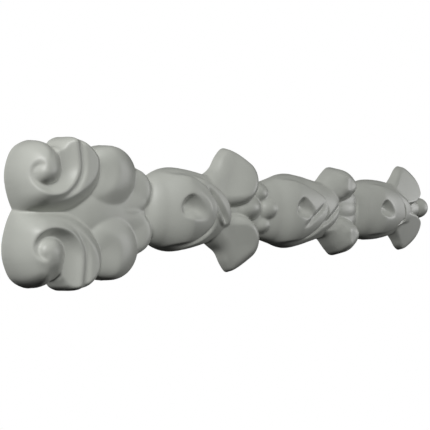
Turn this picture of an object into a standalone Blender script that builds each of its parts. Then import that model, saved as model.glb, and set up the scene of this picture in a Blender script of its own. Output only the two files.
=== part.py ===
"""Drop onlay: a moulded wall ornament in low relief, one casting with a flat back.

It lies as it is pictured: X runs along it from the scroll end to the tip ball, -Y faces the room,
Z goes across it, and the back is at Y = 0 with the origin at its middle. Lengths below are in mm.
"""

import math

import bmesh
import bpy
import numpy as np

# Overall sizes of the casting, in mm. The scroll end is at 0 along the length.
LENGTH = 346.0
EDGE_DRAFT = 4.0  # rise of the outer walls per mm inwards
WALL = 4.0  # height of the straight part of a petal's edge
BELOW = -3.0  # level outside the outline, under the back face

SCROLL_HEIGHT = 22.0
EYE_RISE = 1.2
LEAF_HEIGHT = 15.2
SMALL_LEAF_HEIGHT = 10.2
VALLEY_HEIGHT = 9.0
LEAF_THICK = 1.7
EDGE_SOFTNESS = 0.45  # how far the carving's arrises are rubbed down

GRID = 0.6
SIDE = 6.0
HALF_WIDTH = 42.0
FACES = 9600


SCROLL_EDGE = [
    (1.4, 14), (2.0, 21), (5.0, 28), (11, 31.8), (16, 31.2), (18.9, 29.6), (21.5, 32.6), (26, 34.3), (33, 32.2),
    (38.5, 27.5), (41.2, 21), (41, 14), (37.5, 7.5), (31, 1.5), (23, -4), (12, -6), (7, -4), (4.6, 1), (2.6, 7),
]


def ease(t):
    """0 to 1 with a flat start and end"""
    t = np.clip(t, 0.0, 1.0)
    return t * t * (3.0 - 2.0 * t)


def join(a, b, blend):
    """the higher of two surfaces, with a fillet where they meet"""
    t = np.clip(0.5 + 0.5 * (a - b) / blend, 0.0, 1.0)
    return b + (a - b) * t + blend * t * (1.0 - t)


def lower_of(a, b, blend):
    return -join(-a, -b, blend)


def along(x, stations, values):
    """a smooth curve through the values at the stations along the length"""
    xs, ys = np.array(stations, float), np.array(values, float)
    slope = np.gradient(ys, xs)
    i = np.clip(np.searchsorted(xs, x) - 1, 0, len(xs) - 2)
    h = xs[i + 1] - xs[i]
    t = np.clip((x - xs[i]) / h, 0.0, 1.0)
    return (
        (1 + 2 * t) * (1 - t) ** 2 * ys[i]
        + t * (1 - t) ** 2 * h * slope[i]
        + t * t * (3 - 2 * t) * ys[i + 1]
        + t * t * (t - 1) * h * slope[i + 1]
    )


def curve(points, closed, steps=8):
    """a smooth curve through the points"""
    p = np.array(points, float)
    n = len(p)
    out = []
    for i in range(n if closed else n - 1):
        if closed:
            a, b, c, d = p[i - 1], p[i], p[(i + 1) % n], p[(i + 2) % n]
        else:
            a, b, c, d = p[max(i - 1, 0)], p[i], p[i + 1], p[min(i + 2, n - 1)]
        for t in np.arange(steps) / steps:
            out.append(
                b + 0.5 * t * (c - a + t * (2 * a - 5 * b + 4 * c - d + t * (3 * b - a - 3 * c + d)))
            )
    if not closed:
        out.append(p[-1])
    return np.array(out)


def distance(x, z, points, closed=False):
    """distance to a smooth curve and, for a closed one, which points are inside it"""
    line = curve(points, closed)
    starts, ends = (line, np.roll(line, -1, axis=0)) if closed else (line[:-1], line[1:])
    best = np.full(x.shape, 1e9)
    inside = np.zeros(x.shape, bool)
    for (x0, z0), (x1, z1) in zip(starts, ends):
        dx, dz = x1 - x0, z1 - z0
        t = np.clip(((x - x0) * dx + (z - z0) * dz) / max(dx * dx + dz * dz, 1e-9), 0.0, 1.0)
        best = np.minimum(best, (x - x0 - t * dx) ** 2 + (z - z0 - t * dz) ** 2)
        if closed and z0 != z1:
            inside ^= ((z0 > z) != (z1 > z)) & (x < dx * (z - z0) / dz + x0)
    return np.sqrt(best), inside


def depth_in(x, z, points):
    """distance inside a closed outline, below 0 outside it"""
    d, inside = distance(x, z, points, closed=True)
    return np.where(inside, d, -d)


def oval(x, z, centre, radii, plan=2.0):
    """0 at the centre of an oval, 1 at its edge"""
    u = np.abs((x - centre[0]) / radii[0])
    v = np.abs((z - centre[1]) / radii[1])
    return (u**plan + v**plan) ** (1.0 / plan)


def mound(q, height, power, spread):
    """a rounded body over an oval, carried on below its edge"""
    top = height * (1.0 - np.clip(q, 0.0, 1.0) ** power) ** (1.0 / power)
    return np.where(q < 1.0, top, (1.0 - q) * spread * EDGE_DRAFT)


def ball(x, z, centre, radii, height):
    return mound(oval(x, z, centre, radii), height, 2.1, min(radii))


def scroll(x, z, eye, turn):
    """the scroll: a roll at the end, which winds into the eye, and the band that starts beside it"""
    body = along(x, [0, 8, 16, 24, 32, 42], [-0.7, 0.0, -0.3, -2.2, -3.6, -5.0]) + SCROLL_HEIGHT
    out = np.hypot(x - eye[0], z - eye[1])
    bearing = np.degrees(np.arctan2(z - eye[1], x - eye[0]))
    wind = (bearing + 255.0) % 360.0
    loop = np.clip(wind / 255.0, 0.0, 1.0)
    straight = np.clip(bearing, 0.0, 85.0) * (wind >= 255.0)
    upright = np.cos(np.radians(straight))
    flare = straight * np.exp(-straight / 20.0)
    body = body + EYE_RISE * (1.0 - np.clip(out / 7.0, 0.0, 1.0) ** 2) ** 1.5

    # The crease starts over the eye, goes round it and runs straight out at the notch in the outline.
    crease = (2.1 + 5.5 * loop**1.1) * (1.0 + 0.006 * flare - 0.0035 * straight) / upright
    ridge = (turn[0] + turn[1] * loop + turn[2] * loop**2) * (1.0 + 0.007 * flare - 0.002 * straight) / upright
    deep = ease((wind + 8.0) / 75.0) * np.clip((ridge - crease) / 4.6, 0.0, 1.0)
    t = 1.0 - np.clip((crease - out) / 5.0, 0.0, 1.0)
    rolled = 3.6 * (1.0 - np.sqrt(1.0 - t * t))
    t = np.clip((out - crease) / (ridge - crease), 0.0, 1.0)
    hollowed = 4.6 * (1.0 - t**1.7)
    body = body - deep * np.where(out < crease, rolled, hollowed)

    # A narrow groove outside the ridge sets off the plain rim.
    beyond = (out - ridge) * upright
    body = body - 1.4 * np.exp(-(((beyond - 2.4) / 1.3) ** 2)) * ease((wind - 150.0) / 80.0)

    # The roll is well rounded down to the outline, and the band beside it has a tighter edge.
    depth = depth_in(x, z, SCROLL_EDGE)
    on_band = np.where(bearing > 0.0, ease((out - crease) / 2.0 + 0.5), ease((x - 12.0) / 9.0)) * (x > eye[0])
    shoulder = 10.0 + (np.interp(z, [6, 24], [10.0, 3.4]) - 10.0) * on_band
    side = 1.0 - np.clip(depth / shoulder, 0.0, 1.0)
    inner = 1.0 - np.clip((z + 1.0) / 9.5, 0.0, 1.0)
    body = np.where(depth > 0.0, body * np.sqrt(1.0 - side * side), depth * EDGE_DRAFT)
    return np.where(z > -1.0, body * np.where(depth > 0.0, np.sqrt(1.0 - inner * inner), 1.0), BELOW)


def dished_leaf(x, z):
    q = oval(x, z, (47.4, 16.8), (15.6, 15.2))
    arris = [(46.6, 30), (48.2, 24.5), (48.8, 18.5), (47.0, 12.6), (42, 8), (35, 4.2)]
    away, _ = distance(x, z, arris)
    in_dish = depth_in(x, z, [(26, 36)] + arris + [(22, 10)]) > 0.0
    rounded = np.sqrt(away**2 + 2.0) - 1.4
    drop = np.where(in_dish, 0.3 * rounded, 0.2 * rounded + 0.008 * away**2)
    return mound(q, LEAF_HEIGHT - drop, 4.0, 15.0)


def small_leaf(x, z):
    q = oval(x, z, (57.5, 10.5), (13.6, 12.0), 2.1)
    return mound(q, SMALL_LEAF_HEIGHT + 1.2 * ease((x - 54.0) / 16.0), 5.0, 13.0)


def valley(x, z):
    """the middle of the scroll end: a valley between its halves, which rises to a web between the leaves"""
    half = np.interp(x, [7, 10, 20, 30, 40, 54, 66], [2, 5, 9, 14, 17, 16, 9])
    rise = along(x, [8, 20, 28, 34, 40, 48, 56, 66], [-2, -0.3, 1.0, 3.2, 4.2, 3.6, 2.2, 0.8])
    return np.where((x > 7.0) & (x < 66.0), mound(np.abs(z) / half, VALLEY_HEIGHT + rise, 2.4, 12.0), BELOW)


def bud(x, z, stations, halves, heights):
    """a closed bud, given its half width and its height along the length"""
    half = along(x, stations, halves)
    q = np.abs(z) / half
    body = mound(q, along(x, stations, heights), 2.2, half)
    ends = np.minimum(x - stations[0], stations[-1] - x) * EDGE_DRAFT
    return np.minimum(body, np.maximum(ends, BELOW))


def leaves_over(x, z, outlines, starts):
    """the leaves round a bud, front one first: each lies over the next, and dies away towards the stalk"""
    total = np.zeros(x.shape)
    for i, (outline, start) in enumerate(zip(outlines, starts)):
        height = LEAF_THICK * (len(outlines) - i) * ease((x - start) / 14.0)
        total = np.maximum(total, height * ease(depth_in(x, z, outline) / 1.3 + 0.5))
    return total


def gouge(x, z, centre, left, right, half, depth):
    """a tear-shaped dimple, steep at its upper left end and running out to nothing at the lower right"""
    u = 0.89 * (x - centre[0]) - 0.45 * (z - centre[1])
    v = 0.45 * (x - centre[0]) + 0.89 * (z - centre[1])
    q = np.where(u < 0.0, u / left, u / right) ** 2 + (v / half) ** 2
    return depth * np.clip(1.0 - q, 0.0, 1.0) ** (1.15 + 1.2 * ease(u / 8.0))


def fold(x, z, line, width, depth):
    """a soft groove that dies away at both ends, or a ridge for a depth below 0"""
    away, _ = distance(x, z, line)
    first, last = np.array(line[0]), np.array(line[-1])
    span = last - first
    t = ((x - first[0]) * span[0] + (z - first[1]) * span[1]) / (span**2).sum()
    return depth * np.exp(-((away / width) ** 2)) * ease(t / 0.3) * ease((1.0 - t) / 0.3)


def petal(x, z, outline, hollow, height, dish, reach, lean, shoulder):
    """a flared petal, which dips to a hollow, rises to its far edge and leans down from the middle to its tip"""
    inwards = depth_in(x, z, outline)
    beyond = x - np.interp(z, [8, 20, 34], hollow)
    beyond = 0.5 * (beyond + np.hypot(beyond, 4.0))
    top = height - dish * np.exp(-((beyond / reach) ** 2)) - lean * (z - 12.0)
    t = 1.0 - np.clip((inwards - WALL / EDGE_DRAFT) / shoulder, 0.0, 1.0)
    return lower_of(EDGE_DRAFT * inwards, WALL + (top - WALL) * np.sqrt(1.0 - t * t), 1.0)


def first_flower(x, z):
    body = bud(
        x, z - 0.8,
        [64, 68, 72, 78, 86, 95, 105, 114, 124],
        [12, 14.5, 17.4, 20.6, 22.4, 22.0, 20.4, 18, 14],
        [6.0, 8.8, 12.2, 15.2, 15.8, 14.6, 13.2, 11.4, 8.5],
    )
    front = [(70, 18), (84, 19), (92.4, 17.8), (97, 15), (101.3, 11.5), (105, 7.2), (107, 2), (106.6, -1.5),
             (105, -6.3), (102, -10.4), (94.2, -15.6), (86, -17.5), (70, -16)]
    second = [(86, 20.5), (94, 19), (101, 17.2), (110.1, 12.6), (116.4, 7.6), (120, 1.4), (121, -4.2), (119.6, -8),
              (114, -8.5), (108, -2), (104, 9), (92, 10)]
    third = [(84, 0), (104, 4), (113, 2.5), (119.5, -5), (119.4, -8.6), (115.5, -10.4), (109.5, -15.5), (97, -19.5),
             (84, -20)]
    body = body + leaves_over(x, z, [front, second, third], [76, 88, 90])
    body = body - gouge(x, z, (87.0, 2.8), 4.2, 14.0, 6.4, 4.9)
    body = body - fold(x, z, [(88, 14), (98.5, 5.6), (103, -6)], 2.4, -0.7)
    body = body - fold(x, z, [(99.5, 14.5), (105, 8.7), (109.7, 2.6), (114.6, -4.8), (117, -11)], 1.6, 2.4)
    body = body - fold(x, z, [(108, 1), (106.2, -7), (103, -11.6), (95, -17), (84, -19.5)], 1.5, 2.0)

    outline = [(100, 12), (107.5, 19), (114, 24), (118.5, 31), (124, 36), (130.5, 35), (137.5, 31),
               (142.5, 26.6), (145, 19.7), (144, 11.5), (138, 4), (128, 0.5), (112, 2)]
    leaned = np.where(z < 0.0, x - 3.2 * ease((135.0 - x) / 18.0), x)
    wings = petal(leaned, np.abs(z), outline, [116, 121, 125], 16.2, 6.2, 12.5, 0.12, 7.5)
    body = join(body, wings, 1.0)
    stalk = mound(oval(x, z, (130, 0), (12, 6)), 8.5, 3.0, 8.0)
    neck = mound(oval(x, z, (147, 1), (10, 17), 3.0), 7.5, 3.0, 14.0)
    berries = join(ball(x, z, (138.0, 1.3), (11.6, 8.8), 13.0), ball(x, z, (154.6, 0.6), (9.2, 8.8), 12.2), 1.5)
    berries = join(berries, ball(x, z, (149.0, 10.0), (8.4, 7.0), 9.6), 2.0)
    berries = join(berries, ball(x, z, (150.8, -9.0), (8.0, 6.4), 9.2), 2.0)
    return join(body, join(join(neck, stalk, 1.5), berries, 1.5), 3.0)


def second_flower(x, z):
    lower = z < 0.0
    body = bud(
        x, np.where(lower, z / 1.06, z),
        [144, 152, 160, 168, 177, 186, 195, 204, 214, 222],
        [16.5, 17.2, 19.4, 22.0, 23.2, 22.4, 20.8, 19.2, 17.5, 15],
        [7, 8.4, 12.2, 15.0, 15.4, 14.8, 14.2, 13.4, 12.0, 9.0],
    )
    front = [(155, 18.5), (166, 19), (174.7, 17.6), (184.9, 14.2), (192.6, 10.8), (198.2, 6.8), (200.2, 2.0),
             (199.8, -3.9), (195.4, -9), (188.2, -14.4), (178, -19), (155, -17)]
    second = [(180, 20), (196.7, 17.6), (206.6, 14.9), (215.4, 10), (218.6, 4.6), (217.6, -2.5), (213.8, -7.8),
              (204.7, -13), (195.2, -17.5), (182, -20)]
    body = body + leaves_over(x, z, [front, second], [160, 184])
    body = body - gouge(x, z, (174.2, 1.8), 4.4, 15.0, 6.4, 4.3)
    body = body - fold(x, z, [(198, 7), (195, 2), (187, -3.6), (180, -8.6), (174.5, -12)], 1.6, 1.1)
    body = body - fold(x, z, [(202, 5), (201.2, -4.5), (196.4, -10.4), (188.5, -16), (178, -20)], 1.5, 1.6)
    body = body - fold(x, z, [(220, 5), (213, -0.4), (205, -6), (196, -12)], 1.5, 1.4)

    outline = [(199, 13.5), (206.5, 19.0), (213.5, 25.2), (220, 29.2), (229, 28.6), (237.0, 23.6), (240.4, 17.5),
               (239.0, 11.6), (232, 6.4), (214, 3)]
    knobs = petal(
        np.where(lower, x - 2.4, x), np.where(lower, -z / 1.1, z), outline, [207, 208, 212],
        15.4, 4.0, 11.0, 0.1, 8.0
    )
    ridge = [(225, 27), (222.4, 18), (220.4, 9)]
    knobs = knobs - fold(np.where(lower, x - 2.4, x), np.where(lower, -z / 1.1, z), ridge, 5.0, -1.6)
    body = join(body, knobs, 0.8)
    tongue = [mound(oval(x, side * z, (229, 5.6), (17, 11.5), 2.3), 10.0, 2.6, 10.0) for side in (1, -1)]
    return join(body, join(tongue[0], tongue[1], 6.0), 3.0)


def third_flower(x, z):
    body = bud(
        x, np.where(z < 0.0, z / 1.05, z),
        [242, 247, 252, 259, 268, 278, 288, 298, 308, 318],
        [15, 18.5, 20.3, 21.6, 22.0, 21.8, 20.8, 19.0, 16, 12.5],
        [7, 9.8, 12.4, 13.9, 14.4, 13.7, 12.3, 11.0, 9.8, 8],
    )
    front = [(242, 16.5), (258, 18), (275.8, 15.6), (287, 11.3), (294.6, 4), (297, -3), (298, -7.6), (294, -9.5),
             (288, -13.4), (280, -17), (264, -19), (242, -16)]
    second = [(264, 18.4), (272, 17.4), (287.3, 14.3), (300.4, 9), (308.6, 3.8), (313, -3.5), (317.8, -10.4),
              (308, -11.4), (299, -12), (288.6, -15.8), (277, -19), (264, -20)]
    body = body + leaves_over(x, z, [front, second], [254, 274])
    body = body - gouge(x, z, (266.4, 0.8), 4.4, 15.0, 6.2, 4.0)
    body = body - fold(x, z, [(297, 8), (299.4, -2), (299.6, -8.6), (294, -11.4), (284, -17.5)], 1.4, 1.6)

    outline = [(284, 12), (292, 19.5), (298, 25.2), (303.5, 31.4), (310, 34.2), (318.5, 31.2), (327, 25.2),
               (331.2, 17.5), (330, 9), (318, 2), (298, 2)]
    fan = petal(x, np.where(z < 0.0, -z / 0.975, z), outline, [300, 300, 300], 9.8, 0.6, 10.0, 0.22, 3.5)
    body = join(body, fan, 1.0)
    tip = join(ball(x, z, (336.6, 0.4), (9.4, 8.8), 9.4), mound(oval(x, z, (322, 0), (16, 8)), 7.0, 2.5, 8.0), 1.0)
    return join(body, tip, 0.8)


def relief(x, z):
    """height of the carving over the back face, at a place along the length and across it"""
    lower = z < 0.0
    body = scroll(x, z, (11.8, 17.6), (5.6, -0.6, 10.0))
    fuller = 1.05 + 0.04 * ease((x - 24.0) / 12.0)
    body = join(body, scroll(40.5 + (x - 40.5) / 1.04, -z / fuller, (13.6, 16.2), (3.6, 5.8, 5.6)), 0.6)
    leaves = join(small_leaf(x, z), small_leaf(x, -z), 5.0)
    leaves = join(leaves, dished_leaf(np.where(lower, x - 0.4, x), np.where(lower, -z / 1.04, z)), 0.6)
    body = join(body, leaves, 0.6)
    body = join(body, valley(x, z), 3.0)
    for flower in (first_flower, second_flower, third_flower):
        body = join(body, flower(x, z), 0.6)
    return np.maximum(body, BELOW)


def soften(field, spread):
    """rubs the arrises down a little, as sanding does"""
    n = int(math.ceil(3 * spread))
    weights = np.exp(-0.5 * (np.arange(-n, n + 1) / spread) ** 2)
    weights /= weights.sum()
    for axis in (0, 1):
        padded = np.pad(field, [(n, n) if axis == k else (0, 0) for k in (0, 1)], mode="edge")
        field = sum(
            w * np.take(padded, np.arange(i, i + field.shape[axis]), axis) for i, w in enumerate(weights)
        )
    return field


def casting(name, step):
    """the relief over a flat back, as one closed body in metres"""
    xs = np.arange(-SIDE, LENGTH + SIDE, step)
    zs = np.arange(-HALF_WIDTH, HALF_WIDTH + step / 2, step)
    x, z = np.meshgrid(xs, zs, indexing="ij")
    rise = soften(relief(x, z), EDGE_SOFTNESS / step)
    points = np.stack([x - LENGTH / 2.0, -rise, z], axis=-1).reshape(-1, 3) / 1000.0
    number = np.arange(x.size).reshape(x.shape)
    squares = np.stack(
        [number[1:, :-1], number[1:, 1:], number[:-1, 1:], number[:-1, :-1]], axis=-1
    ).reshape(-1, 4)
    squares = squares[(rise.reshape(-1)[squares] > BELOW / 2.0).any(axis=1)]

    mesh = bpy.data.meshes.new(name)
    mesh.from_pydata(points.tolist(), [], squares.tolist())
    body = bmesh.new()
    body.from_mesh(mesh)
    everything = body.verts[:] + body.edges[:] + body.faces[:]
    bmesh.ops.bisect_plane(
        body, geom=everything, dist=1e-7, plane_co=(0, 0, 0), plane_no=(0, 1, 0), clear_outer=True
    )
    loose = [v for v in body.verts if not v.link_faces]
    bmesh.ops.delete(body, geom=loose, context="VERTS")
    rim = [e for e in body.edges if e.is_boundary]
    bmesh.ops.contextual_create(body, geom=rim)
    bmesh.ops.triangulate(body, faces=[f for f in body.faces if len(f.verts) > 3])
    bmesh.ops.recalc_face_normals(body, faces=body.faces)
    body.to_mesh(mesh)
    body.free()
    return mesh


for old in list(bpy.data.objects):
    bpy.data.objects.remove(old)

mesh = casting("onlay", GRID)
mesh.shade_smooth()
onlay = bpy.data.objects.new("onlay", mesh)
bpy.context.scene.collection.objects.link(onlay)

thin = onlay.modifiers.new("fewer faces", "DECIMATE")
thin.ratio = FACES / len(mesh.polygons)
thin.use_collapse_triangulate = True

primer = bpy.data.materials.new("primer")
primer.use_nodes = True
paint = primer.node_tree.nodes["Principled BSDF"]
paint.inputs["Base Color"].default_value = (0.42, 0.42, 0.40, 1.0)
paint.inputs["Roughness"].default_value = 0.55
mesh.materials.append(primer)
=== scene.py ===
import math

import bmesh
import bpy
import numpy as np
from mathutils import Matrix, Vector


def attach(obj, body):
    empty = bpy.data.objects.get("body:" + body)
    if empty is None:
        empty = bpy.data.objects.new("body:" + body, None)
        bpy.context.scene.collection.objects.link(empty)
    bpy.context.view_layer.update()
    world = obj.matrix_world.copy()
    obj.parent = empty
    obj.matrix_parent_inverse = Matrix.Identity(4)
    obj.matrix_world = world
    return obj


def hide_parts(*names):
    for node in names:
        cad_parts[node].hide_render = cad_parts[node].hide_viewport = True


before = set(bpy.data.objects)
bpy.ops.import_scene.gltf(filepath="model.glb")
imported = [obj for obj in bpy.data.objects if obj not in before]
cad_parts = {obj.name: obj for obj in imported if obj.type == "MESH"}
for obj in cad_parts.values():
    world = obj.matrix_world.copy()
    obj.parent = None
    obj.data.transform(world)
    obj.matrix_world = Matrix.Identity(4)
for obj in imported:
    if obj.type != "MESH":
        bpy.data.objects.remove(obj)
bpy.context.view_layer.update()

# The onlay is one casting in high-density polyurethane from a flat-backed mould, rubbed down and sprayed
# with grey primer. It is glued and pinned to a wall panel or furniture by its flat back. Below, lengths
# along it count from the scroll end, in mm, and heights from the back.
LENGTH = 346.0
EDGE_DRAFT = 4.0  # rise of the outer walls per mm inwards
BELOW = -3.0  # level outside the outline, under the back face


def ease(t):
    """0 to 1 with a flat start and end"""
    t = np.clip(t, 0.0, 1.0)
    return t * t * (3.0 - 2.0 * t)


def join(a, b, blend):
    """the higher of two surfaces, with a fillet where they meet"""
    t = np.clip(0.5 + 0.5 * (a - b) / blend, 0.0, 1.0)
    return b + (a - b) * t + blend * t * (1.0 - t)


def lower_of(a, b, blend):
    """the lower of two surfaces, with a rounded edge where they meet"""
    return -join(-a, -b, blend)


def along(x, stations, values):
    """a smooth curve through the values at the stations along the length"""
    xs, ys = np.array(stations, float), np.array(values, float)
    slope = np.gradient(ys, xs)
    i = np.clip(np.searchsorted(xs, x) - 1, 0, len(xs) - 2)
    h = xs[i + 1] - xs[i]
    t = np.clip((x - xs[i]) / h, 0.0, 1.0)
    return (
        (1 + 2 * t) * (1 - t) ** 2 * ys[i]
        + t * (1 - t) ** 2 * h * slope[i]
        + t * t * (3 - 2 * t) * ys[i + 1]
        + t * t * (t - 1) * h * slope[i + 1]
    )


def curve(points, closed, steps=8):
    """a smooth curve through the points"""
    p = np.array(points, float)
    n = len(p)
    out = []
    for i in range(n if closed else n - 1):
        if closed:
            a, b, c, d = p[i - 1], p[i], p[(i + 1) % n], p[(i + 2) % n]
        else:
            a, b, c, d = p[max(i - 1, 0)], p[i], p[i + 1], p[min(i + 2, n - 1)]
        for t in np.arange(steps) / steps:
            out.append(
                b + 0.5 * t * (c - a + t * (2 * a - 5 * b + 4 * c - d + t * (3 * b - a - 3 * c + d)))
            )
    if not closed:
        out.append(p[-1])
    return np.array(out)


def distance(x, z, points, closed=False):
    """distance to a smooth curve and, for a closed one, which points are inside it"""
    line = curve(points, closed)
    starts, ends = (line, np.roll(line, -1, axis=0)) if closed else (line[:-1], line[1:])
    best = np.full(x.shape, 1e9)
    inside = np.zeros(x.shape, bool)
    for (x0, z0), (x1, z1) in zip(starts, ends):
        dx, dz = x1 - x0, z1 - z0
        t = np.clip(((x - x0) * dx + (z - z0) * dz) / max(dx * dx + dz * dz, 1e-9), 0.0, 1.0)
        best = np.minimum(best, (x - x0 - t * dx) ** 2 + (z - z0 - t * dz) ** 2)
        if closed and z0 != z1:
            inside ^= ((z0 > z) != (z1 > z)) & (x < dx * (z - z0) / dz + x0)
    return np.sqrt(best), inside


def depth_in(x, z, points):
    """distance inside a closed outline, below 0 outside it"""
    d, inside = distance(x, z, points, closed=True)
    return np.where(inside, d, -d)


def oval(x, z, centre, radii, plan=2.0):
    """0 at the centre of an oval, 1 at its edge; a plan over 2 squares the oval up"""
    u = np.abs((x - centre[0]) / radii[0])
    v = np.abs((z - centre[1]) / radii[1])
    return (u**plan + v**plan) ** (1.0 / plan)


def mound(q, height, power, spread):
    """a rounded body over an oval, carried on below its edge; a high power gives it a flat top"""
    top = height * (1.0 - np.clip(q, 0.0, 1.0) ** power) ** (1.0 / power)
    return np.where(q < 1.0, top, (1.0 - q) * spread * EDGE_DRAFT)


def ball(x, z, centre, radii, height):
    """a berry, or the ball at the tip"""
    return mound(oval(x, z, centre, radii), height, 2.1, min(radii))


SCROLL_HEIGHT = 22.0
SCROLL_EDGE = [
    (1.4, 14), (2.0, 21), (5.0, 28), (11, 31.8), (16, 31.2), (18.9, 29.6), (21.5, 32.6), (26, 34.3),
    (33, 32.2), (38.5, 27.5), (41.2, 21), (41, 14), (37.5, 7.5), (31, 1.5), (23, -4), (12, -6), (7, -4),
    (4.6, 1), (2.6, 7),
]
EYE_RADIUS = 7.0
EYE_RISE = 1.2
WINDING = 255.0  # degrees that the crease goes round the eye before it straightens
CREASE_START = 2.1  # distance of the crease from the middle of the eye
CREASE_SPREAD = 5.5  # what that distance gains on the way round
ROLL_WIDTH = 5.0  # from the crease to where the roll is level again
ROLL_DROP = 3.6  # of the roll, down to the crease
HOLLOW_DEPTH = 4.6  # of the crease below the ridge; the hollow is nowhere deeper than it is wide
GROOVE_OFFSET, GROOVE_WIDTH, GROOVE_DEPTH = 2.4, 1.3, 1.4
ROLL_SHOULDER = 10.0  # width of the rounded edge of the roll
BAND_SHOULDER = 3.4  # the same on the band beside it
INNER_EDGE = -1.0
INNER_SHOULDER = 9.5


def scroll(x, z, eye, turn):
    """the scroll: a roll at the end, which winds into the eye, and the band that starts beside it

    Its eye is given by its middle, and its turn by the distance of the band's ridge from there.
    """
    body = along(x, [0, 8, 16, 24, 32, 42], [-0.7, 0.0, -0.3, -2.2, -3.6, -5.0]) + SCROLL_HEIGHT

    # Places go by their distance out from the eye and by how far they have wound round it, in degrees.
    out = np.hypot(x - eye[0], z - eye[1])
    bearing = np.degrees(np.arctan2(z - eye[1], x - eye[0]))
    wind = (bearing + WINDING) % 360.0
    loop = np.clip(wind / WINDING, 0.0, 1.0)
    straight = np.clip(bearing, 0.0, 85.0) * (wind >= WINDING)
    upright = np.cos(np.radians(straight))
    flare = straight * np.exp(-straight / 20.0)
    body = body + EYE_RISE * (1.0 - np.clip(out / EYE_RADIUS, 0.0, 1.0) ** 2) ** 1.5

    # The crease starts over the eye, goes round it and runs straight out at the notch in the outline. The
    # ridge of the band follows it further out, and the hollow lies between them.
    crease = CREASE_START + CREASE_SPREAD * loop**1.1
    crease = crease * (1.0 + 0.006 * flare - 0.0035 * straight) / upright
    ridge = turn[0] + turn[1] * loop + turn[2] * loop**2
    ridge = ridge * (1.0 + 0.007 * flare - 0.002 * straight) / upright
    deep = ease((wind + 8.0) / 75.0) * np.clip((ridge - crease) / HOLLOW_DEPTH, 0.0, 1.0)
    t = 1.0 - np.clip((crease - out) / ROLL_WIDTH, 0.0, 1.0)
    rolled = ROLL_DROP * (1.0 - np.sqrt(1.0 - t * t))
    t = np.clip((out - crease) / (ridge - crease), 0.0, 1.0)
    hollowed = HOLLOW_DEPTH * (1.0 - t**1.7)
    body = body - deep * np.where(out < crease, rolled, hollowed)

    # A narrow groove outside the ridge sets off the plain rim.
    beyond = (out - ridge) * upright
    groove = GROOVE_DEPTH * np.exp(-(((beyond - GROOVE_OFFSET) / GROOVE_WIDTH) ** 2))
    body = body - groove * ease((wind - 150.0) / 80.0)

    # The roll is well rounded down to the outline, and the band beside it has a tighter edge.
    depth = depth_in(x, z, SCROLL_EDGE)
    on_band = np.where(bearing > 0.0, ease((out - crease) / 2.0 + 0.5), ease((x - 12.0) / 9.0)) * (x > eye[0])
    tighter = np.interp(z, [6, 24], [ROLL_SHOULDER, BAND_SHOULDER]) - ROLL_SHOULDER
    shoulder = ROLL_SHOULDER + tighter * on_band
    side = 1.0 - np.clip(depth / shoulder, 0.0, 1.0)
    inner = 1.0 - np.clip((z - INNER_EDGE) / INNER_SHOULDER, 0.0, 1.0)
    body = np.where(depth > 0.0, body * np.sqrt(1.0 - side * side), depth * EDGE_DRAFT)
    body = body * np.where(depth > 0.0, np.sqrt(1.0 - inner * inner), 1.0)
    return np.where(z > INNER_EDGE, body, BELOW)


LEAF_HEIGHT = 15.2
SMALL_LEAF_HEIGHT = 10.2
VALLEY_HEIGHT = 9.0


def dished_leaf(x, z):
    """a large leaf: a shallow dish beside the scroll, which an arris parts from the rounded far side"""
    q = oval(x, z, centre=(47.4, 16.8), radii=(15.6, 15.2))
    arris = [(46.6, 30), (48.2, 24.5), (48.8, 18.5), (47.0, 12.6), (42, 8), (35, 4.2)]
    away, _ = distance(x, z, arris)
    in_dish = depth_in(x, z, [(26, 36)] + arris + [(22, 10)]) > 0.0
    rounded = np.sqrt(away**2 + 2.0) - 1.4
    drop = np.where(in_dish, 0.3 * rounded, 0.2 * rounded + 0.008 * away**2)
    return mound(q, LEAF_HEIGHT - drop, power=4.0, spread=15.0)


def small_leaf(x, z):
    """a small leaf, which rises a little towards the first bud"""
    q = oval(x, z, centre=(57.5, 10.5), radii=(13.6, 12.0), plan=2.1)
    return mound(q, SMALL_LEAF_HEIGHT + 1.2 * ease((x - 54.0) / 16.0), power=5.0, spread=13.0)


def valley(x, z):
    """the middle of the scroll end: a valley between its halves, which rises to a web between the leaves"""
    half = np.interp(x, [7, 10, 20, 30, 40, 54, 66], [2, 5, 9, 14, 17, 16, 9])
    rise = along(x, [8, 20, 28, 34, 40, 48, 56, 66], [-2, -0.3, 1.0, 3.2, 4.2, 3.6, 2.2, 0.8])
    web = mound(np.abs(z) / half, VALLEY_HEIGHT + rise, power=2.4, spread=12.0)
    return np.where((x > 7.0) & (x < 66.0), web, BELOW)


def bud(x, z, stations, halves, heights):
    """a closed bud, given its half width and its height along the length"""
    half = along(x, stations, halves)
    q = np.abs(z) / half
    body = mound(q, along(x, stations, heights), power=2.2, spread=half)
    ends = np.minimum(x - stations[0], stations[-1] - x) * EDGE_DRAFT
    return np.minimum(body, np.maximum(ends, BELOW))


LEAF_THICK = 1.7
LEAF_EDGE = 1.3  # width of the step down at the edge of a leaf
LEAF_FADE = 14.0  # length over which a leaf rises from the bud


def leaves_over(x, z, outlines, starts):
    """the leaves round a bud, front one first: each lies over the next, and dies away towards the stalk"""
    total = np.zeros(x.shape)
    for i, (outline, start) in enumerate(zip(outlines, starts)):
        height = LEAF_THICK * (len(outlines) - i) * ease((x - start) / LEAF_FADE)
        total = np.maximum(total, height * ease(depth_in(x, z, outline) / LEAF_EDGE + 0.5))
    return total


GOUGE_ALONG, GOUGE_ACROSS = 0.89, 0.45  # slope of the dimples, which run down to the right


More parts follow.
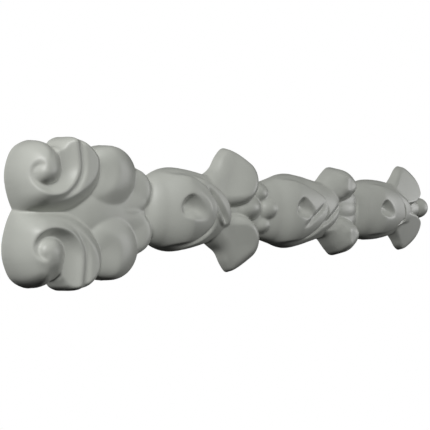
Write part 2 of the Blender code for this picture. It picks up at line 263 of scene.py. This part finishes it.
def gouge(x, z, centre, left, right, half, depth):
    """a tear-shaped dimple, steep at its upper left end and running out to nothing at the lower right"""
    u = GOUGE_ALONG * (x - centre[0]) - GOUGE_ACROSS * (z - centre[1])
    v = GOUGE_ACROSS * (x - centre[0]) + GOUGE_ALONG * (z - centre[1])
    q = np.where(u < 0.0, u / left, u / right) ** 2 + (v / half) ** 2
    return depth * np.clip(1.0 - q, 0.0, 1.0) ** (1.15 + 1.2 * ease(u / 8.0))


def fold(x, z, line, width, depth):
    """a soft groove that dies away at both ends, or a ridge for a depth below 0"""
    away, _ = distance(x, z, line)
    first, last = np.array(line[0]), np.array(line[-1])
    span = last - first
    t = ((x - first[0]) * span[0] + (z - first[1]) * span[1]) / (span**2).sum()
    return depth * np.exp(-((away / width) ** 2)) * ease(t / 0.3) * ease((1.0 - t) / 0.3)


PETAL_WALL = 4.0  # height of the straight part of a petal's edge


def petal(x, z, outline, hollow, height, dish, reach, lean, shoulder):
    """a flared petal: it dips to a hollow, rises to its far edge and leans down from the middle to its tip"""
    inwards = depth_in(x, z, outline)
    beyond = x - np.interp(z, [8, 20, 34], hollow)
    beyond = 0.5 * (beyond + np.hypot(beyond, 4.0))
    top = height - dish * np.exp(-((beyond / reach) ** 2)) - lean * (z - 12.0)
    t = 1.0 - np.clip((inwards - PETAL_WALL / EDGE_DRAFT) / shoulder, 0.0, 1.0)
    rounded = PETAL_WALL + (top - PETAL_WALL) * np.sqrt(1.0 - t * t)
    return lower_of(EDGE_DRAFT * inwards, rounded, 1.0)


def first_flower(x, z):
    """the first bud with three leaves, its two flared petals and the cluster of four berries"""
    # The bud sits 0.8 mm above the middle line.
    body = bud(
        x, z - 0.8,
        stations=[64, 68, 72, 78, 86, 95, 105, 114, 124],
        halves=[12, 14.5, 17.4, 20.6, 22.4, 22.0, 20.4, 18, 14],
        heights=[6.0, 8.8, 12.2, 15.2, 15.8, 14.6, 13.2, 11.4, 8.5],
    )
    front = [
        (70, 18), (84, 19), (92.4, 17.8), (97, 15), (101.3, 11.5), (105, 7.2), (107, 2), (106.6, -1.5),
        (105, -6.3), (102, -10.4), (94.2, -15.6), (86, -17.5), (70, -16),
    ]
    second = [
        (86, 20.5), (94, 19), (101, 17.2), (110.1, 12.6), (116.4, 7.6), (120, 1.4), (121, -4.2),
        (119.6, -8), (114, -8.5), (108, -2), (104, 9), (92, 10),
    ]
    third = [
        (84, 0), (104, 4), (113, 2.5), (119.5, -5), (119.4, -8.6), (115.5, -10.4), (109.5, -15.5),
        (97, -19.5), (84, -20),
    ]
    body = body + leaves_over(x, z, [front, second, third], [76, 88, 90])
    body = body - gouge(x, z, centre=(87.0, 2.8), left=4.2, right=14.0, half=6.4, depth=4.9)
    body = body - fold(x, z, [(88, 14), (98.5, 5.6), (103, -6)], width=2.4, depth=-0.7)
    upper_fold = [(99.5, 14.5), (105, 8.7), (109.7, 2.6), (114.6, -4.8), (117, -11)]
    body = body - fold(x, z, upper_fold, width=1.6, depth=2.4)
    lower_fold = [(108, 1), (106.2, -7), (103, -11.6), (95, -17), (84, -19.5)]
    body = body - fold(x, z, lower_fold, width=1.5, depth=2.0)

    outline = [
        (100, 12), (107.5, 19), (114, 24), (118.5, 31), (124, 36), (130.5, 35), (137.5, 31), (142.5, 26.6),
        (145, 19.7), (144, 11.5), (138, 4), (128, 0.5), (112, 2),
    ]
    # The lower petal is the upper one turned over, with its near side 3.2 mm further on.
    petal_x = np.where(z < 0.0, x - 3.2 * ease((135.0 - x) / 18.0), x)
    petals = petal(
        petal_x, np.abs(z), outline,
        hollow=[116, 121, 125], height=16.2, dish=6.2, reach=12.5, lean=0.12, shoulder=7.5
    )
    body = join(body, petals, 1.0)
    stalk = mound(oval(x, z, centre=(130, 0), radii=(12, 6)), 8.5, power=3.0, spread=8.0)
    neck = mound(oval(x, z, centre=(147, 1), radii=(10, 17), plan=3.0), 7.5, power=3.0, spread=14.0)
    near_berry = ball(x, z, centre=(138.0, 1.3), radii=(11.6, 8.8), height=13.0)
    far_berry = ball(x, z, centre=(154.6, 0.6), radii=(9.2, 8.8), height=12.2)
    upper_berry = ball(x, z, centre=(149.0, 10.0), radii=(8.4, 7.0), height=9.6)
    lower_berry = ball(x, z, centre=(150.8, -9.0), radii=(8.0, 6.4), height=9.2)
    berries = join(near_berry, far_berry, 1.5)
    berries = join(berries, upper_berry, 2.0)
    berries = join(berries, lower_berry, 2.0)
    return join(body, join(join(neck, stalk, 1.5), berries, 1.5), 3.0)


def second_flower(x, z):
    """the second bud with two leaves, its two knob petals and the tongue between them"""
    # The lower half of the bud is 6 percent wider than the upper one.
    lower = z < 0.0
    body = bud(
        x, np.where(lower, z / 1.06, z),
        stations=[144, 152, 160, 168, 177, 186, 195, 204, 214, 222],
        halves=[16.5, 17.2, 19.4, 22.0, 23.2, 22.4, 20.8, 19.2, 17.5, 15],
        heights=[7, 8.4, 12.2, 15.0, 15.4, 14.8, 14.2, 13.4, 12.0, 9.0],
    )
    front = [
        (155, 18.5), (166, 19), (174.7, 17.6), (184.9, 14.2), (192.6, 10.8), (198.2, 6.8), (200.2, 2.0),
        (199.8, -3.9), (195.4, -9), (188.2, -14.4), (178, -19), (155, -17),
    ]
    second = [
        (180, 20), (196.7, 17.6), (206.6, 14.9), (215.4, 10), (218.6, 4.6), (217.6, -2.5), (213.8, -7.8),
        (204.7, -13), (195.2, -17.5), (182, -20),
    ]
    body = body + leaves_over(x, z, [front, second], [160, 184])
    body = body - gouge(x, z, centre=(174.2, 1.8), left=4.4, right=15.0, half=6.4, depth=4.3)
    front_fold = [(198, 7), (195, 2), (187, -3.6), (180, -8.6), (174.5, -12)]
    body = body - fold(x, z, front_fold, width=1.6, depth=1.1)
    middle_fold = [(202, 5), (201.2, -4.5), (196.4, -10.4), (188.5, -16), (178, -20)]
    body = body - fold(x, z, middle_fold, width=1.5, depth=1.6)
    far_fold = [(220, 5), (213, -0.4), (205, -6), (196, -12)]
    body = body - fold(x, z, far_fold, width=1.5, depth=1.4)

    # The lower knob is the upper one turned over, set 2.4 mm further on and a tenth wider.
    outline = [
        (199, 13.5), (206.5, 19.0), (213.5, 25.2), (220, 29.2), (229, 28.6), (237.0, 23.6), (240.4, 17.5),
        (239.0, 11.6), (232, 6.4), (214, 3),
    ]
    knob_x = np.where(lower, x - 2.4, x)
    knob_z = np.where(lower, -z / 1.1, z)
    knobs = petal(
        knob_x, knob_z, outline,
        hollow=[207, 208, 212], height=15.4, dish=4.0, reach=11.0, lean=0.1, shoulder=8.0
    )
    knobs = knobs - fold(knob_x, knob_z, [(225, 27), (222.4, 18), (220.4, 9)], width=5.0, depth=-1.6)
    body = join(body, knobs, 0.8)
    tongue = [
        mound(oval(x, side * z, centre=(229, 5.6), radii=(17, 11.5), plan=2.3), 10.0, power=2.6, spread=10.0)
        for side in (1, -1)
    ]
    return join(body, join(tongue[0], tongue[1], 6.0), 3.0)


def third_flower(x, z):
    """the third bud with two leaves, its two flared fans and the ball at the tip"""
    # The lower half of the bud is 5 percent wider than the upper one, and the lower fan a little narrower.
    lower = z < 0.0
    body = bud(
        x, np.where(lower, z / 1.05, z),
        stations=[242, 247, 252, 259, 268, 278, 288, 298, 308, 318],
        halves=[15, 18.5, 20.3, 21.6, 22.0, 21.8, 20.8, 19.0, 16, 12.5],
        heights=[7, 9.8, 12.4, 13.9, 14.4, 13.7, 12.3, 11.0, 9.8, 8],
    )
    front = [
        (242, 16.5), (258, 18), (275.8, 15.6), (287, 11.3), (294.6, 4), (297, -3), (298, -7.6),
        (294, -9.5), (288, -13.4), (280, -17), (264, -19), (242, -16),
    ]
    second = [
        (264, 18.4), (272, 17.4), (287.3, 14.3), (300.4, 9), (308.6, 3.8), (313, -3.5), (317.8, -10.4),
        (308, -11.4), (299, -12), (288.6, -15.8), (277, -19), (264, -20),
    ]
    body = body + leaves_over(x, z, [front, second], [254, 274])
    body = body - gouge(x, z, centre=(266.4, 0.8), left=4.4, right=15.0, half=6.2, depth=4.0)
    leaf_fold = [(297, 8), (299.4, -2), (299.6, -8.6), (294, -11.4), (284, -17.5)]
    body = body - fold(x, z, leaf_fold, width=1.4, depth=1.6)

    outline = [
        (284, 12), (292, 19.5), (298, 25.2), (303.5, 31.4), (310, 34.2), (318.5, 31.2), (327, 25.2),
        (331.2, 17.5), (330, 9), (318, 2), (298, 2),
    ]
    fans = petal(
        x, np.where(lower, -z / 0.975, z), outline,
        hollow=[300, 300, 300], height=9.8, dish=0.6, reach=10.0, lean=0.22, shoulder=3.5
    )
    body = join(body, fans, 1.0)
    tip = ball(x, z, centre=(336.6, 0.4), radii=(9.4, 8.8), height=9.4)
    stalk = mound(oval(x, z, centre=(322, 0), radii=(16, 8)), 7.0, power=2.5, spread=8.0)
    return join(body, join(tip, stalk, 1.0), 0.8)


def relief(x, z):
    """height of the carving over the back face, at a place along the length and across it"""
    upper_scroll = scroll(x, z, eye=(11.8, 17.6), turn=(5.6, -0.6, 10.0))

    # The lower scroll is turned over, 4 percent longer and 5 to 9 percent wider, and its large leaf 4 percent
    # wider.
    scroll_x = 40.5 + (x - 40.5) / 1.04
    scroll_z = -z / (1.05 + 0.04 * ease((x - 24.0) / 12.0))
    lower_scroll = scroll(scroll_x, scroll_z, eye=(13.6, 16.2), turn=(3.6, 5.8, 5.6))
    body = join(upper_scroll, lower_scroll, 0.6)
    lower = z < 0.0
    large_leaves = dished_leaf(np.where(lower, x - 0.4, x), np.where(lower, -z / 1.04, z))
    small_leaves = join(small_leaf(x, z), small_leaf(x, -z), 5.0)
    body = join(body, join(small_leaves, large_leaves, 0.6), 0.6)
    body = join(body, valley(x, z), 3.0)
    for flower in (first_flower, second_flower, third_flower):
        body = join(body, flower(x, z), 0.6)
    return np.maximum(body, BELOW)


def soften(field, spread):
    """rubs the arrises down a little, as sanding does"""
    n = int(math.ceil(3 * spread))
    weights = np.exp(-0.5 * (np.arange(-n, n + 1) / spread) ** 2)
    weights /= weights.sum()
    for axis in (0, 1):
        padded = np.pad(field, [(n, n) if axis == k else (0, 0) for k in (0, 1)], mode="edge")
        field = sum(
            w * np.take(padded, np.arange(i, i + field.shape[axis]), axis) for i, w in enumerate(weights)
        )
    return field


GRID = 0.47
EDGE_SOFTNESS = 0.45  # how far the carving's arrises are rubbed down
MARGIN = 6.0  # of the grid, past both ends of the onlay
HALF_WIDTH = 42.0
MM_PER_METRE = 1000.0
xs = np.arange(-MARGIN, LENGTH + MARGIN, GRID)
zs = np.arange(-HALF_WIDTH, HALF_WIDTH + GRID / 2, GRID)
x, z = np.meshgrid(xs, zs, indexing="ij")
rise = soften(relief(x, z), EDGE_SOFTNESS / GRID)
points = np.stack([x - LENGTH / 2.0, -rise, z], axis=-1).reshape(-1, 3) / MM_PER_METRE
number = np.arange(x.size).reshape(x.shape)
squares = np.stack(
    [number[1:, :-1], number[1:, 1:], number[:-1, 1:], number[:-1, :-1]], axis=-1
).reshape(-1, 4)
squares = squares[(rise.reshape(-1)[squares] > BELOW / 2.0).any(axis=1)]
mesh = bpy.data.meshes.new("onlay_carving")
mesh.from_pydata(points.tolist(), [], squares.tolist())

# The moulder strikes the back off level, so the sheet is cut at the back's plane and closed with one face,
# which alone has more than a few corners and is shaded flat.
BACK_CORNERS = 8
body = bmesh.new()
body.from_mesh(mesh)
everything = body.verts[:] + body.edges[:] + body.faces[:]
bmesh.ops.bisect_plane(
    body, geom=everything, dist=1e-7, plane_co=(0, 0, 0), plane_no=(0, 1, 0), clear_outer=True
)
bmesh.ops.delete(body, geom=[v for v in body.verts if not v.link_faces], context="VERTS")
rim = [e for e in body.edges if e.is_boundary]
for edge in rim:
    edge.smooth = False
bmesh.ops.contextual_create(body, geom=rim)
bmesh.ops.recalc_face_normals(body, faces=body.faces)
for face in body.faces:
    face.smooth = len(face.verts) < BACK_CORNERS
body.to_mesh(mesh)
body.free()
onlay = bpy.data.objects.new("onlay_carving", mesh)
bpy.context.scene.collection.objects.link(onlay)
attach(onlay, "root")
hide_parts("onlay")

# Grey primer over the casting: slightly uneven in colour and sheen, with the fine tooth of a sprayed coat.
PRIMER_DARK = (0.36, 0.37, 0.34, 1.0)
PRIMER_PALE = (0.388, 0.397, 0.366, 1.0)
CLOUD_SCALE = 35.0
TOOTH_SCALE = 1400.0
TOOTH_HEIGHT = 0.0002
primer = bpy.data.materials.new("primer")
primer.use_nodes = True
nodes, links = primer.node_tree.nodes, primer.node_tree.links
paint = nodes["Principled BSDF"]
paint.inputs["Specular IOR Level"].default_value = 0.4
place = nodes.new("ShaderNodeTexCoord")
cloud = nodes.new("ShaderNodeTexNoise")
cloud.inputs["Scale"].default_value = CLOUD_SCALE
cloud.inputs["Detail"].default_value = 4.0
links.new(place.outputs["Object"], cloud.inputs["Vector"])
tint = nodes.new("ShaderNodeValToRGB")
tint.color_ramp.elements[0].position = 0.3
tint.color_ramp.elements[0].color = PRIMER_DARK
tint.color_ramp.elements[1].position = 0.7
tint.color_ramp.elements[1].color = PRIMER_PALE
links.new(cloud.outputs["Fac"], tint.inputs["Fac"])
links.new(tint.outputs["Color"], paint.inputs["Base Color"])
sheen = nodes.new("ShaderNodeMapRange")
sheen.inputs["To Min"].default_value = 0.42
sheen.inputs["To Max"].default_value = 0.52
links.new(cloud.outputs["Fac"], sheen.inputs["Value"])
links.new(sheen.outputs["Result"], paint.inputs["Roughness"])
tooth = nodes.new("ShaderNodeTexNoise")
tooth.inputs["Scale"].default_value = TOOTH_SCALE
tooth.inputs["Detail"].default_value = 2.0
links.new(place.outputs["Object"], tooth.inputs["Vector"])
bump = nodes.new("ShaderNodeBump")
bump.inputs["Strength"].default_value = 0.12
bump.inputs["Distance"].default_value = TOOTH_HEIGHT
links.new(tooth.outputs["Fac"], bump.inputs["Height"])
links.new(bump.outputs["Normal"], paint.inputs["Normal"])
mesh.materials.append(primer)

# A studio floor lies well below the onlay. The camera sees it white, and it throws little light back up.
FLOOR_SIZE = 12.0
FLOOR_LEVEL = -0.6
FLOOR_GREY = (0.03, 0.03, 0.03, 1.0)


def seen_apart(tree, lit, seen, surface):
    """shows the camera one shader, and every other ray another"""
    rays = tree.nodes.new("ShaderNodeLightPath")
    mix = tree.nodes.new("ShaderNodeMixShader")
    tree.links.new(rays.outputs["Is Camera Ray"], mix.inputs["Fac"])
    tree.links.new(lit, mix.inputs[1])
    tree.links.new(seen, mix.inputs[2])
    tree.links.new(mix.outputs["Shader"], surface)


bpy.ops.mesh.primitive_plane_add(size=FLOOR_SIZE, location=(0.0, 0.0, FLOOR_LEVEL))
floor = bpy.context.object
floor.name = "studio_floor"
white = bpy.data.materials.new("studio white")
white.use_nodes = True
nodes = white.node_tree.nodes
matt = nodes["Principled BSDF"]
matt.inputs["Base Color"].default_value = FLOOR_GREY
matt.inputs["Roughness"].default_value = 0.9
glow = nodes.new("ShaderNodeEmission")
output = nodes["Material Output"]
seen_apart(white.node_tree, matt.outputs["BSDF"], glow.outputs["Emission"], output.inputs["Surface"])
floor.data.materials.append(white)

# The camera stands in front of the scroll end and to its left, level with the onlay, and looks slantwise
# along it.
CAMERA_PLACE = (-0.24347, -0.23126, 0.0)
HEADING = 39.26  # degrees to the right of straight at the wall
TILT = 0.5  # degrees down
ROLL = -0.6  # degrees about the line of sight
camera_data = bpy.data.cameras.new("camera")
camera_data.sensor_width = 36.0
camera_data.lens = 43.45
camera_data.clip_start = 0.01
camera = bpy.data.objects.new("camera", camera_data)
bpy.context.scene.collection.objects.link(camera)
camera.matrix_world = (
    Matrix.Translation(CAMERA_PLACE)
    @ Matrix.Rotation(-math.radians(HEADING), 4, "Z")
    @ Matrix.Rotation(math.radians(90.0 - TILT), 4, "X")
    @ Matrix.Rotation(math.radians(ROLL), 4, "Z")
)
bpy.context.scene.camera = camera

# The surround is white to the camera and gives little light. Two lamps shine from the camera's left and
# above, one of them with shadows. A third fills in from its right, and a fourth lights the onlay's back.
WHITE = (1.0, 1.0, 1.0, 1.0)
world = bpy.data.worlds.new("studio")
bpy.context.scene.world = world
world.use_nodes = True
nodes = world.node_tree.nodes
fill = nodes["Background"]
fill.inputs["Color"].default_value = WHITE
fill.inputs["Strength"].default_value = 0.02
seen = nodes.new("ShaderNodeBackground")
seen.inputs["Color"].default_value = WHITE
seen.inputs["Strength"].default_value = 1.0
output = nodes["World Output"]
seen_apart(world.node_tree, fill.outputs["Background"], seen.outputs["Background"], output.inputs["Surface"])
for name, across, above, towards, strength, angle, shadow in (
    ("key", -0.38, 0.56, 0.74, 0.4, 20.0, True),
    ("key glow", -0.42, 0.54, 0.73, 1.75, 12.0, False),
    ("side fill", 0.97, 0.08, -0.14, 1.5, 20.0, False),
    ("back light", -0.63, 0.0, -0.77, 2.2, 20.0, False),
):
    lamp = bpy.data.lights.new(name, "SUN")
    lamp.energy = strength
    lamp.angle = math.radians(angle)
    lamp.use_shadow = shadow
    holder = bpy.data.objects.new(name, lamp)
    from_camera = camera.matrix_world.to_3x3() @ Vector((across, above, towards))
    holder.rotation_mode = "QUATERNION"
    holder.rotation_quaternion = from_camera.to_track_quat("Z", "Y")
    bpy.context.scene.collection.objects.link(holder)

# A small lamp above the camera and to its left lifts the near end more than the far one.
NEAR_LAMP_PLACE = (-0.12, 0.17, 0.03)  # across, above and behind the camera
near = bpy.data.lights.new("near lamp", "POINT")
near.energy = 2.5
near.shadow_soft_size = 0.05
near.use_shadow = False
holder = bpy.data.objects.new("near lamp", near)
holder.location = camera.matrix_world @ Vector(NEAR_LAMP_PLACE)
bpy.context.scene.collection.objects.link(holder)
bpy.context.scene.view_settings.view_transform = "Standard"
